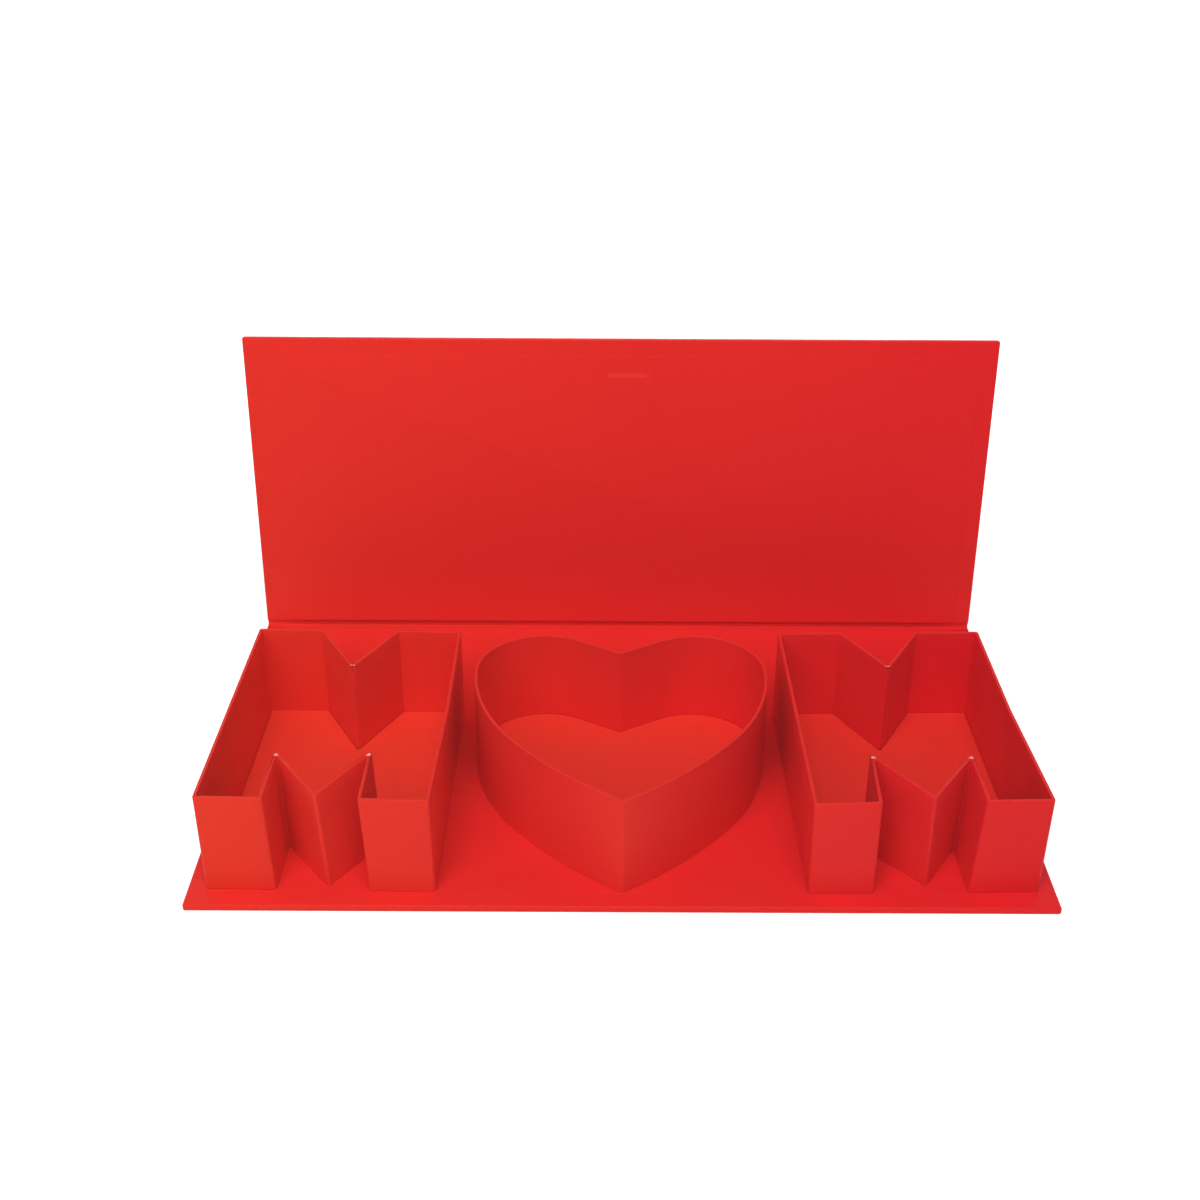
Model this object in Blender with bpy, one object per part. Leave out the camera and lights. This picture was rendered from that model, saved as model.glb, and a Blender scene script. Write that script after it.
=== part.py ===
"""Rigid gift box that opens like a book, with three open trays glued to its base.

Two trays are letter-shaped and the middle one is a heart. A spine board and a lid board
fold on paper hinges behind the base. Metres, +Z up, front of the box towards -Y, origin at
the middle of the base's underside. The box stands open, with its lid leaning back.
"""

import math

import bmesh
import bpy
from mathutils import Matrix, Vector

# Papers, boards and glue lines
PAPER = 0.0002
GLUE_GAP = 0.0003
GREYBOARD = 0.0030
WALL_BOARD = 0.0008
FLOOR_BOARD = 0.0008
HEART_FLOOR_BOARD = 0.0024

# Covered panels: base, spine and lid
PANEL_CORNER_RADIUS = 0.0012
PANEL_EDGE_RADIUS = 0.0006
TURN_IN = 0.015
LINING_MARGIN = 0.010

# Layout of the trays on the base
SIDE_MARGIN = 0.01115
FRONT_MARGIN = 0.0114
REAR_MARGIN = 0.0066
TRAY_SPACING = 0.0124
LEFT_LETTER_TURN = math.radians(-0.85)
RIGHT_LETTER_TURN = math.radians(1.3)
HEART_FORWARD = 0.0029

# Trays
TRAY_HEIGHT = 0.0580
TRAY_TURN_UNDER = 0.0060
RIM_CHAMFER = 0.00025
FOLD_RADIUS = 0.0015
CROTCH_RADIUS = 0.0005

# Letter tray: two feet in front, a V between them, a notch behind
LETTER_WIDTH = 0.1192
LETTER_DEPTH = 0.1680
FOOT_WIDTH = 0.0350
CROTCH_DEPTH = 0.0383
V_TIP_SETBACK = 0.0019
NOTCH_WIDTH = 0.0434
NOTCH_DEPTH = 0.0392
SLIT_RADIUS = 0.0017
SLIT_DEPTH = 0.0004

# The letters are folded by hand: how far corners stray from the plan, at rim and at foot
LEFT_LETTER_STRAYS = {
    "tip": ((0.0008, 0.0004), (0.0038, 0.0013)),
    "right crotch": ((-0.0019, 0.0007), (0.0006, -0.0018)),
    "right toe": ((-0.0019, 0.0), (0.0006, 0.0)),
    "front right": ((-0.0009, 0.0), (0.0, 0.0)),
    "middle right": ((0.0009, 0.0), (0.0, 0.0)),
    "notch apex": ((0.0010, 0.0), (0.0010, -0.0009)),
    "back left": ((-0.0004, 0.0), (0.0, 0.0)),
    "front left": ((-0.0006, 0.0), (0.0, 0.0)),
    "left toe": ((-0.0005, 0.0), (0.0015, 0.0)),
    "left crotch": ((-0.0005, -0.0003), (0.0015, -0.0018)),
}
RIGHT_LETTER_STRAYS = {
    "tip": ((0.0002, 0.0007), (0.0019, 0.0036)),
    "right crotch": ((0.0014, -0.0003), (-0.0018, -0.0028)),
    "right toe": ((0.0012, 0.0), (-0.0020, 0.0)),
    "front right": ((0.0007, 0.0), (0.0, 0.0)),
    "middle right": ((-0.0013, 0.0), (-0.0004, 0.0)),
    "notch apex": ((-0.0010, 0.0015), (-0.0010, 0.0005)),
    "front left": ((-0.0020, -0.0015), (-0.0008, 0.0)),
    "left toe": ((-0.0024, -0.0007), (-0.0017, 0.0)),
    "left crotch": ((-0.0002, 0.0007), (-0.0012, -0.0018)),
}

# Heart tray: three arcs and a straight on each side
HEART_TIP_ANGLE = math.radians(32.7)
HEART_SIDE_RADIUS = 0.2355
HEART_SIDE_TURN = math.radians(19.3)
HEART_SHOULDER_RADIUS = 0.1156
HEART_SHOULDER_TURN = math.radians(38.6)
HEART_LOBE_RADIUS = 0.0393
HEART_LOBE_TURN = math.radians(120.0)
BOARD_SEAM = 0.0003

# Hinges
HINGE_SLACK = 0.0005
LID_CLEARANCE = 0.0005
LINING_LAP = 0.0009
GROOVE_EDGE_ROUND = 0.00025
GROOVE_FLOOR_ROUND = 0.0009
SPINE_RISE = math.radians(19.0)
LID_RISE = math.radians(85.7)

# Smoothness of round stretches
CORNER_STEPS = 4
EDGE_STEPS = 2
ARC_STEP = math.radians(9.0)
SHARP_ANGLE = math.radians(25.0)

# Sizes worked out from those above
SKIN = PAPER + GLUE_GAP
WRAP_THICKNESS = SKIN + GREYBOARD + SKIN
PANEL_THICKNESS = WRAP_THICKNESS + SKIN
WALL = SKIN + WALL_BOARD + SKIN
TRAY_BASE = PANEL_THICKNESS + GLUE_GAP
RIM = TRAY_BASE + TRAY_HEIGHT
HINGE_REACH = PANEL_THICKNESS + HINGE_SLACK
HINGE_SPAN = RIM + LID_CLEARANCE + PANEL_THICKNESS

# Colours as sRGB hex
RED_WRAP = "DA2828"
RED_LINING = "DC2A28"
BOARD_GREY = "B9B4AA"
WALL_BOARD_WHITE = "D9D6D0"


def clear_scene():
    for old in list(bpy.data.objects):
        bpy.data.objects.remove(old, do_unlink=True)


def linear_colour(code):
    shares = [int(code[i:i + 2], 16) / 255 for i in (0, 2, 4)]
    linear = [c / 12.92 if c <= 0.04045 else ((c + 0.055) / 1.055) ** 2.4 for c in shares]
    return (*linear, 1.0)


def finish(obj, colour, roughness):
    material = bpy.data.materials.new(obj.name + "_finish")
    material.use_nodes = True
    shader = material.node_tree.nodes["Principled BSDF"]
    shader.inputs["Base Color"].default_value = linear_colour(colour)
    shader.inputs["Roughness"].default_value = roughness
    shader.inputs["Metallic"].default_value = 0.0
    obj.data.materials.append(material)


def add_object(name, bm, colour, roughness, parent=None):
    bmesh.ops.recalc_face_normals(bm, faces=bm.faces)
    mesh = bpy.data.meshes.new(name)
    bm.to_mesh(mesh)
    bm.free()
    mesh.shade_smooth()
    mesh.set_sharp_from_angle(angle=SHARP_ANGLE)
    obj = bpy.data.objects.new(name, mesh)
    bpy.context.scene.collection.objects.link(obj)
    obj.parent = parent
    finish(obj, colour, roughness)
    return obj


def add_empty(name, location, rise, parent=None):
    empty = bpy.data.objects.new(name, None)
    empty.location = location
    empty.rotation_euler = (rise, 0.0, 0.0)
    empty.parent = parent
    bpy.context.scene.collection.objects.link(empty)
    return empty


def cut(target, cutter):
    cutter.hide_render = True
    cutter.display_type = "WIRE"
    boolean = target.modifiers.new("cut_" + cutter.name, "BOOLEAN")
    boolean.operation = "DIFFERENCE"
    boolean.solver = "EXACT"
    boolean.object = cutter


def add_loop(bm, points):
    return [bm.verts.new(point) for point in points]


def is_twisted(quad):
    first, second, third, fourth = [vertex.co for vertex in quad]
    normal = (second - first).cross(third - first)
    if normal.length < 1e-12:
        return False
    return abs((fourth - first).dot(normal.normalized())) > 1e-6


def bridge(bm, near, far):
    """Faces between two loops. Twisted ones are split the same way on every layer."""
    count = len(near)
    for i in range(count):
        j = (i + 1) % count
        quad = (near[i], near[j], far[j], far[i])
        if not is_twisted(quad):
            bm.faces.new(quad)
            continue
        low, high = (near, far) if near[i].co.z < far[i].co.z else (far, near)
        bm.faces.new((low[i], low[j], high[j]))
        bm.faces.new((low[i], high[j], high[i]))


def capped_body(rings):
    """A closed body through a row of rings, with a flat face over each end."""
    bm = bmesh.new()
    loops = [add_loop(bm, ring) for ring in rings]
    for near, far in zip(loops, loops[1:]):
        bridge(bm, near, far)
    bm.faces.new(loops[0])
    bm.faces.new(loops[-1])
    return bm


def ring_body(rings):
    """A closed body whose last ring joins its first, like a thick band."""
    bm = bmesh.new()
    loops = [add_loop(bm, ring) for ring in rings]
    for near, far in zip(loops, loops[1:] + loops[:1]):
        bridge(bm, near, far)
    return bm


# Outlines: lists of plan points, counter-clockwise, inset towards the inside

def turn_at(points, i):
    before = points[i] - points[i - 1]
    after = points[(i + 1) % len(points)] - points[i]
    return math.atan2(before.x * after.y - before.y * after.x, before.dot(after))


def inset_corner(points, i, inset):
    before = (points[i] - points[i - 1]).normalized()
    after = (points[(i + 1) % len(points)] - points[i]).normalized()
    side = Vector((-before.y - after.y, before.x + after.x)).normalized()
    return points[i] + side * inset / side.dot(Vector((-before.y, before.x)))


def round_corner(corner, before, after, turn, radius):
    """Arc of CORNER_STEPS chords that touches both edges of a corner."""
    reach = radius * math.tan(abs(turn) / 2)
    start = corner - before * reach
    side = math.copysign(1.0, turn)
    centre = start + Vector((-before.y, before.x)) * radius * side
    spoke = start - centre
    arc = []
    for step in range(CORNER_STEPS + 1):
        swing = Matrix.Rotation(turn * step / CORNER_STEPS, 2)
        arc.append(centre + swing @ spoke)
    return arc


def inset_outline(points, inset):
    """The outline moved inwards, its folds rounded to suit the inset."""
    moved = [inset_corner(points, i, inset) for i in range(len(points))]
    outline = []
    for i, corner in enumerate(moved):
        turn = turn_at(points, i)
        if abs(turn) < SHARP_ANGLE:
            outline.append(corner)
            continue
        before = (corner - moved[i - 1]).normalized()
        after = (moved[(i + 1) % len(moved)] - corner).normalized()
        if turn > 0:
            radius = max(FOLD_RADIUS - inset, PAPER)
        else:
            radius = CROTCH_RADIUS + min(inset, WALL) / 2
        outline.extend(round_corner(corner, before, after, turn, radius))
    return outline


def letter_corners():
    """Plan of the letter, its middle at the origin, its feet towards -Y."""
    half = LETTER_WIDTH / 2
    gap = half - FOOT_WIDTH
    notch = NOTCH_WIDTH / 2
    front = -LETTER_DEPTH / 2
    back = LETTER_DEPTH / 2
    return {
        "tip": (0.0, front + V_TIP_SETBACK),
        "right crotch": (gap, front + CROTCH_DEPTH),
        "right toe": (gap, front),
        "front right": (half, front),
        "middle right": (half, 0.0),
        "back right": (half, back),
        "right of notch": (notch, back),
        "notch apex": (0.0, back - NOTCH_DEPTH),
        "left of notch": (-notch, back),
        "back left": (-half, back),
        "front left": (-half, front),
        "left toe": (-gap, front),
        "left crotch": (-gap, front + CROTCH_DEPTH),
    }


def heart_half():
    """Right side of the heart, from its tip at the origin to its cleft above."""
    place = Vector((0.0, 0.0))
    heading = HEART_TIP_ANGLE
    points = [place]
    arcs = (
        (HEART_SIDE_RADIUS, HEART_SIDE_TURN),
        (HEART_SHOULDER_RADIUS, HEART_SHOULDER_TURN),
        (HEART_LOBE_RADIUS, HEART_LOBE_TURN),
    )
    for radius, turn in arcs:
        steps = math.ceil(turn / ARC_STEP)
        chord = 2 * radius * math.sin(turn / steps / 2)
        for _ in range(steps):
            heading += turn / steps / 2
            place = place + chord * Vector((math.cos(heading), math.sin(heading)))
            heading += turn / steps / 2
            points.append(place)
    run = -place.x / math.cos(heading)
    cleft = place + run * Vector((math.cos(heading), math.sin(heading)))
    return points, Vector((0.0, cleft.y))


def heart_corners():
    """Plan of the heart, centred, its tip towards -Y. The tip is the first point."""
    right, cleft = heart_half()
    depth = max(point.y for point in right)
    left = [Vector((-point.x, point.y)) for point in reversed(right[1:])]
    middle = Vector((0.0, depth / 2))
    return [point - middle for point in right + [cleft] + left]


HEART_CORNERS = heart_corners()
HEART_WIDTH = 2 * max(point.x for point in HEART_CORNERS)
HEART_DEPTH = 2 * max(point.y for point in HEART_CORNERS)
TRAY_ZONE_DEPTH = max(LETTER_DEPTH, HEART_DEPTH)
BOX_WIDTH = 2 * (SIDE_MARGIN + LETTER_WIDTH + TRAY_SPACING) + HEART_WIDTH
PANEL_DEPTH = FRONT_MARGIN + TRAY_ZONE_DEPTH + REAR_MARGIN
LETTER_X = BOX_WIDTH / 2 - SIDE_MARGIN - LETTER_WIDTH / 2
TRAY_Y = FRONT_MARGIN + TRAY_ZONE_DEPTH / 2 - PANEL_DEPTH / 2


class LetterPlan:
    """Outline of a letter tray. Some corners lean, so it changes with the height."""

    def __init__(self, x, turn, strays):
        self.place = Vector((x, TRAY_Y))
        self.turn = Matrix.Rotation(turn, 2)
        self.strays = strays

    def corners(self, z):
        drop = (RIM - z) / TRAY_HEIGHT
        square = (Vector((0.0, 0.0)), Vector((0.0, 0.0)))
        corners = []
        for name, point in letter_corners().items():
            at_rim, at_foot = [Vector(stray) for stray in self.strays.get(name, square)]
            corners.append(Vector(point) + at_rim.lerp(at_foot, drop))
        return corners

    def ring(self, inset, z):
        outline = inset_outline(self.corners(z), inset)
        return [(*(self.place + self.turn @ point), z) for point in outline]

    def inner_folds(self):
        """The three folds that point into the tray, at the middle of the rim."""
        corners = self.corners(RIM)
        folds = []
        for i in range(len(corners)):
            if turn_at(corners, i) < -SHARP_ANGLE:
                apex = inset_outline_apex(corners, i)
                folds.append(self.place + self.turn @ apex)
        return folds


def inset_outline_apex(corners, i):
    """Middle of the rim at an inward fold, between its outer and inner arcs."""
    half_gap = (math.pi - abs(turn_at(corners, i))) / 2
    spread = 1 / math.sin(half_gap)
    outer_radius = CROTCH_RADIUS
    inner_radius = CROTCH_RADIUS + WALL / 2
    outer = -outer_radius * (spread - 1)
    inner = WALL * spread - inner_radius * (spread - 1)
    inward = (inset_corner(corners, i, WALL) - corners[i]).normalized()
    return corners[i] + inward * (outer + inner) / 2


class HeartPlan:
    """Outline of the heart tray."""

    place = Vector((0.0, TRAY_Y - HEART_FORWARD))

    def ring(self, inset, z):
        outline = inset_outline(HEART_CORNERS, inset)
        return [(*(self.place + point), z) for point in outline]


# Trays

def add_tray_wrap(name, plan):
    """Paper outside, over the rim and down inside, its end turned under the floor."""
    lap = TRAY_BASE + PAPER
    profile = (
        (0.0, TRAY_BASE),
        (0.0, RIM - RIM_CHAMFER),
        (RIM_CHAMFER, RIM),
        (WALL - RIM_CHAMFER, RIM),
        (WALL, RIM - RIM_CHAMFER),
        (WALL, lap),
        (WALL + TRAY_TURN_UNDER, lap),
        (WALL + TRAY_TURN_UNDER, TRAY_BASE),
        (WALL - PAPER, TRAY_BASE),
        (WALL - PAPER, RIM - PAPER),
        (PAPER, RIM - PAPER),
        (PAPER, TRAY_BASE),
    )
    rings = [plan.ring(inset, z) for inset, z in profile]
    return add_object(name, ring_body(rings), RED_WRAP, 0.45)


def wall_profile():
    top = RIM - SKIN
    return (
        (SKIN, TRAY_BASE),
        (SKIN, top),
        (SKIN + WALL_BOARD, top),
        (SKIN + WALL_BOARD, TRAY_BASE),
    )


def add_tray_floor(tray, plan, thickness):
    """Floor card and the paper on it, inside the walls and on the turned-under wrap."""
    inset = WALL + GLUE_GAP
    card = TRAY_BASE + SKIN
    paper = card + thickness + GLUE_GAP
    levels = (
        ("_floor_board", card, card + thickness, BOARD_GREY, 0.9),
        ("_floor_lining", paper, paper + PAPER, RED_LINING, 0.5),
    )
    for part, bottom, top, colour, roughness in levels:
        rings = [plan.ring(inset, z) for z in (bottom, top)]
        add_object(tray + part, capped_body(rings), colour, roughness)


def add_rim_slits(wrap, plan):
    """Small openings where the wrap is slit over the folds that point inwards."""
    for number, fold in enumerate(plan.inner_folds()):
        bm = bmesh.new()
        bmesh.ops.create_cone(
            bm,
            cap_ends=True,
            segments=12,
            radius1=SLIT_RADIUS,
            radius2=SLIT_RADIUS,
            depth=4 * SLIT_DEPTH,
            matrix=Matrix.Translation((*fold, RIM + SLIT_DEPTH)),
        )
        cutter = add_object(f"{wrap.name}_slit_{number}", bm, RED_WRAP, 0.5)
        cut(wrap, cutter)


def add_letter_tray(tray, plan):
    rings = [plan.ring(inset, z) for inset, z in wall_profile()]
    add_object(tray + "_wall_board", ring_body(rings), WALL_BOARD_WHITE, 0.85)
    wrap = add_tray_wrap(tray + "_wrap", plan)
    add_rim_slits(wrap, plan)
    add_tray_floor(tray, plan, FLOOR_BOARD)


def add_heart_walls(plan):
    """Two bent strips that meet at the tip and the cleft with a narrow seam."""
    rings = [plan.ring(inset, z) for inset, z in wall_profile()]
    count = len(rings[0])
    tip = CORNER_STEPS // 2
    cleft = tip + count // 2
    spans = (
        ("heart_wall_board_right", list(range(tip, cleft + 1)), 1),
        ("heart_wall_board_left", list(range(cleft, tip + count + 1)), -1),
    )
    for name, span, side in spans:
        sections = [[ring[i % count] for ring in rings] for i in span]
        for end in (0, -1):
            sections[end] = [(side * BOARD_SEAM / 2, y, z) for _, y, z in sections[end]]
        add_object(name, capped_body(sections), WALL_BOARD_WHITE, 0.85)


def add_heart_tray():
    plan = HeartPlan()
    add_heart_walls(plan)
    add_tray_wrap("heart_wrap", plan)
    add_tray_floor("heart", plan, HEART_FLOOR_BOARD)


# Covered panels, modelled flat: outer face at z = 0, hinge sides across Y

def panel_ring(inset, z, near, far):
    """Rounded rectangle of the panel's outline at one height."""
    half = BOX_WIDTH / 2 - inset
    radius = max(PANEL_CORNER_RADIUS - inset, PAPER)
    corners = (
        (half, near + inset, 0),
        (half, far - inset, 1),
        (-half, far - inset, 2),
        (-half, near + inset, 3),
    )
    ring = []
    for x, y, quarter in corners:
        toward_x = math.copysign(radius, -x)
        toward_y = radius if quarter in (0, 3) else -radius
        centre = Vector((x + toward_x, y + toward_y))
        for step in range(CORNER_STEPS + 1):
            angle = math.radians(90) * (quarter - 1 + step / CORNER_STEPS)
            spoke = radius * Vector((math.cos(angle), math.sin(angle)))
            ring.append((*(centre + spoke), z))
    return ring


def round_edge(level, inward, radius, skin):
    """Points of a rounded long edge, from its flat face to the panel's side."""
    points = []
    for step in range(EDGE_STEPS + 1):
        angle = math.radians(90) * step / EDGE_STEPS
        inset = skin + radius * (1 - math.sin(angle))
        points.append((inset, level + inward * radius * (1 - math.cos(angle))))
    return points


def add_panel_wrap(name, near, far, open_near, open_far, parent):
    """Paper round the board's outer face and edges, turned in on its inner face.

    A side with a hinge is left open, and the paper stops there.
    """
    spare = 2 * TURN_IN
    ends = (near - spare * open_near, far + spare * open_far)
    outer = PANEL_EDGE_RADIUS
    inner = PANEL_EDGE_RADIUS - PAPER
    profile = round_edge(0.0, 1, outer, 0.0)
    profile += reversed(round_edge(WRAP_THICKNESS, -1, outer, 0.0))
    profile += [(TURN_IN, WRAP_THICKNESS), (TURN_IN, WRAP_THICKNESS - PAPER)]
    profile += round_edge(WRAP_THICKNESS - PAPER, -1, inner, PAPER)
    profile += reversed(round_edge(PAPER, 1, inner, PAPER))
    rings = [panel_ring(inset, z, *ends) for inset, z in profile]
    wrap = add_object(name + "_wrap", capped_body(rings), RED_WRAP, 0.42, parent)
    hinge_sides = ((open_near, near + GLUE_GAP, -1), (open_far, far - GLUE_GAP, 1))
    for is_open, edge, side in hinge_sides:
        if is_open:
            cut(wrap, add_side_cutter(f"{name}_hinge_side_{side}", edge, side, parent))


def add_side_cutter(name, edge, side, parent):
    """Box that takes away everything past one hinge side."""
    length = 4 * TURN_IN
    bm = bmesh.new()
    size = Matrix.Diagonal((2 * BOX_WIDTH, length, 4 * PANEL_THICKNESS, 1.0))
    middle = Matrix.Translation((0.0, edge + side * length / 2, 0.0))
    bmesh.ops.create_cube(bm, size=1.0, matrix=middle @ size)
    return add_object(name, bm, RED_WRAP, 0.5, parent)


def add_panel(name, near, far, open_near, open_far, parent):
    """A greyboard, its wrap and its lining, near and far being its ends along Y."""
    board_near = near + (GLUE_GAP if open_near else SKIN) - SKIN
    board_far = far - (GLUE_GAP if open_far else SKIN) + SKIN
    board_rings = [panel_ring(SKIN, z, board_near, board_far) for z in (SKIN, SKIN + GREYBOARD)]
    add_object(name + "_board", capped_body(board_rings), BOARD_GREY, 0.9, parent)
    add_panel_wrap(name, near, far, open_near, open_far, parent)
    lap = LINING_LAP + GLUE_GAP
    lining_near = near + (lap if open_near else LINING_MARGIN) - LINING_MARGIN
    lining_far = far - (lap if open_far else LINING_MARGIN) + LINING_MARGIN
    levels = (PANEL_THICKNESS - PAPER, PANEL_THICKNESS)
    lining_rings = [panel_ring(LINING_MARGIN, z, lining_near, lining_far) for z in levels]
    add_object(name + "_lining", capped_body(lining_rings), RED_LINING, 0.48, parent)


# Paper hinges: a strip outside the groove and one pressed into it

def thicken(path, thickness):
    """Pairs of points either side of a path, for a strip of even thickness."""
    pairs = []
    for i, point in enumerate(path):
        before = (point - path[i - 1]).normalized() if i > 0 else None
        after = (path[i + 1] - point).normalized() if i + 1 < len(path) else None
        before = before or after
        after = after or before
        side = Vector((-before.y - after.y, before.x + after.x)).normalized()
        reach = thickness / 2 / side.dot(Vector((-before.y, before.x)))
        pairs.append((point - side * reach, point + side * reach))
    return pairs


def fold_path(half_path, fold, middle_height):
    """A path up to the hinge line and its mirror image past the fold."""
    near = [Vector(point) for point in half_path]
    swing = Matrix.Rotation(fold, 2)
    far = [swing @ Vector((-y, z)) for y, z in reversed(half_path)]
    reach = middle_height / math.cos(fold / 2)
    middle = reach * Vector((-math.sin(fold / 2), math.cos(fold / 2)))
    return near + [middle] + far


def add_hinge_strip(name, path, width, hinge_y, colour, parent):
    """A strip of paper along X, its path given around the hinge line."""
    rings = []
    for outer, inner in thicken(path, PAPER):
        ring = [(-width / 2, outer), (width / 2, outer), (width / 2, inner), (-width / 2, inner)]
        rings.append([(x, hinge_y + point.x, point.y) for x, point in ring])
    return add_object(name, capped_body(rings), colour, 0.45, parent)


def add_hinge(name, hinge_y, fold, parent):
    cover_height = PAPER / 2
    cover = fold_path([(-HINGE_REACH, cover_height)], fold, cover_height)
    cover_width = BOX_WIDTH - 2 * PANEL_EDGE_RADIUS
    add_hinge_strip(name + "_cover", cover, cover_width, hinge_y, RED_WRAP, parent)
    top = PANEL_THICKNESS - PAPER / 2
    floor = PAPER + GLUE_GAP + PAPER / 2
    side = HINGE_REACH - PAPER / 2
    groove = [
        (-(HINGE_REACH + LINING_LAP), top),
        (-(side + GROOVE_EDGE_ROUND), top),
        (-side, top - GROOVE_EDGE_ROUND),
        (-side, floor + GROOVE_FLOOR_ROUND),
        (-(side - GROOVE_FLOOR_ROUND / 2), floor + GROOVE_FLOOR_ROUND / 4),
        (-(side - 1.5 * GROOVE_FLOOR_ROUND), floor),
    ]
    lining = fold_path(groove, fold, floor)
    lining_width = BOX_WIDTH - 2 * LINING_MARGIN
    add_hinge_strip(name + "_lining", lining, lining_width, hinge_y, RED_LINING, parent)


def build():
    clear_scene()
    rear = PANEL_DEPTH / 2
    hinge_y = rear + HINGE_REACH
    add_panel("base", -rear, rear, False, True, None)
    left_letter = LetterPlan(-LETTER_X, LEFT_LETTER_TURN, LEFT_LETTER_STRAYS)
    right_letter = LetterPlan(LETTER_X, RIGHT_LETTER_TURN, RIGHT_LETTER_STRAYS)
    add_letter_tray("left_letter", left_letter)
    add_letter_tray("right_letter", right_letter)
    add_heart_tray()

    spine_line = add_empty("spine_hinge_line", (0.0, hinge_y, 0.0), SPINE_RISE)
    add_panel("spine", HINGE_REACH, HINGE_SPAN - HINGE_REACH, True, True, spine_line)
    lid_fold = LID_RISE - SPINE_RISE
    lid_line = add_empty("lid_hinge_line", (0.0, HINGE_SPAN, 0.0), lid_fold, spine_line)
    add_panel("lid", HINGE_REACH, HINGE_REACH + PANEL_DEPTH, True, False, lid_line)

    add_hinge("rear_hinge", hinge_y, SPINE_RISE, None)
    add_hinge("lid_hinge", HINGE_SPAN, lid_fold, spine_line)


build()
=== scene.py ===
"""Looks of the red gift box: three open paper-covered trays on a base with a book-style lid."""

import math

import bmesh
import bpy
from mathutils import Matrix, Vector


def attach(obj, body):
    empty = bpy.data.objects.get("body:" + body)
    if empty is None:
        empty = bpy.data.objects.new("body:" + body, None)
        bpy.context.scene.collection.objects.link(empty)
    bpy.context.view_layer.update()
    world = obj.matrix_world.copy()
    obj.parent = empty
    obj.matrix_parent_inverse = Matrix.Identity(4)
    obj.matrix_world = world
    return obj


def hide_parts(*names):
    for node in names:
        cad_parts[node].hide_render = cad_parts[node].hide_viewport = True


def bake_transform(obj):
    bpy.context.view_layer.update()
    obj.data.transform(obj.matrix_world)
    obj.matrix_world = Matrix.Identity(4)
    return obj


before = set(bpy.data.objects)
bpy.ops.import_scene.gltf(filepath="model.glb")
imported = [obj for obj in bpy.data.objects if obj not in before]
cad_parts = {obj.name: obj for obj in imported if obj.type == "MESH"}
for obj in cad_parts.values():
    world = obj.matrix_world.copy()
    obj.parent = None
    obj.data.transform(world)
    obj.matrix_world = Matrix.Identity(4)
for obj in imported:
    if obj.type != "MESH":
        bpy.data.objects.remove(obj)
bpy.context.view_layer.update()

MM = 0.001

# Named colours of the papers and boards, as sRGB hex
RED_PAPER = "D61224"
# The warmer reds are the lighter ends of painted light towards the left
RED_PAPER_LIT_WARM = "E23222"
RED_LINING = "D81722"
RED_LINING_LIT_WARM = "DF2922"
# Floor red: lighter than the lining by painted light from above
RED_FLOOR_LIT = "DC2C27"
RED_FLOOR_LIT_WARM = "E53B28"
# Rim red: worn paper and a painted highlight along the trays' rims
RIM_WORN_AND_LIT_RED = "DA302A"
# Crease red: a painted highlight on the lid's lining
CREASE_HIGHLIGHT_RED = "E2332B"
GREYBOARD = "B9B4AA"
GREYBOARD_FLECK = "8E8980"
# Bare board: pink from painted red light off the walls around
CUT_BOARD_RED_LIT = "F2AC9F"
CUT_BOARD_RED_LIT_FLECK = "DE8A7C"
STUDIO_WHITE = "F2F2F2"
WHITE = (1.0, 1.0, 1.0, 1.0)

# The box as the CAD model has it, in millimetres. Heights are from the table
PAPER = 0.2
SKIN = 0.5  # a paper with its glue line
WALL = 1.8  # a tray's wall, papers and all
WALL_BOARD = 0.8
TRAY_BASE = 4.8
RIM = 62.8
RIM_ROUND = 0.35  # radius of the rim's two edges
WRAPPED = 4.0  # a panel in its wrap
PANEL_TOP = 4.5  # a panel in its wrap, with its lining
BOX_WIDTH = 451.199
PANEL_DEPTH = 186.0
LINING_MARGIN = 10.0
HINGE_REACH = 5.0  # from a hinge line to the panel beside it
SPINE_RISE = math.radians(19.0)
LID_RISE = math.radians(85.7)

# The hinge lines, as y and z in millimetres
HINGE_SPAN = 67.8
SPINE_HINGE = (98.0, 0.0)
LID_HINGE = (
    SPINE_HINGE[0] + HINGE_SPAN * math.cos(SPINE_RISE),
    SPINE_HINGE[1] + HINGE_SPAN * math.sin(SPINE_RISE),
)

# How near two points count as one, in metres: when merged, at a letter's corner, on a fold
SAME_POINT = 0.00001
SAME_CORNER = 0.00002
SAME_FOLD = 0.0001
# A face lies flat when its normal is upright by more than this
LIES_FLAT = 0.9


def linear(code):
    """sRGB hex to the linear colour that a shader takes."""
    shares = [int(code[i:i + 2], 16) / 255 for i in (0, 2, 4)]
    return (*[c / 12.92 if c <= 0.04045 else ((c + 0.055) / 1.055) ** 2.4 for c in shares], 1.0)


def add_node(tree, kind, inputs=(), **settings):
    """One node with its settings; inputs are (socket, value or the output that feeds it).

    Inputs that are only counted up are, on a Map Range, the value, the two ends it comes from
    and the two it goes to. A Mix has its share at 0, two numbers at 2 and 3, and two colours
    at 6 and 7; the mixed colour is its output 2.
    """
    node = tree.nodes.new(kind)
    for name, value in settings.items():
        setattr(node, name, value)
    for name, value in inputs:
        if isinstance(value, bpy.types.NodeSocket):
            tree.links.new(value, node.inputs[name])
        else:
            node.inputs[name].default_value = value
    return node


def new_material(name):
    material = bpy.data.materials.new(name)
    material.use_nodes = True
    material.node_tree.nodes.clear()
    return material, material.node_tree


# Camera: focal length in mm, place in metres, and pitch, yaw and roll in degrees

CAMERA_LENS = 47.451
CAMERA_PLACE = (-0.014119, -0.723045, 0.536516)
CAMERA_TURNS = (29.223, -0.153, -0.353)


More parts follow.
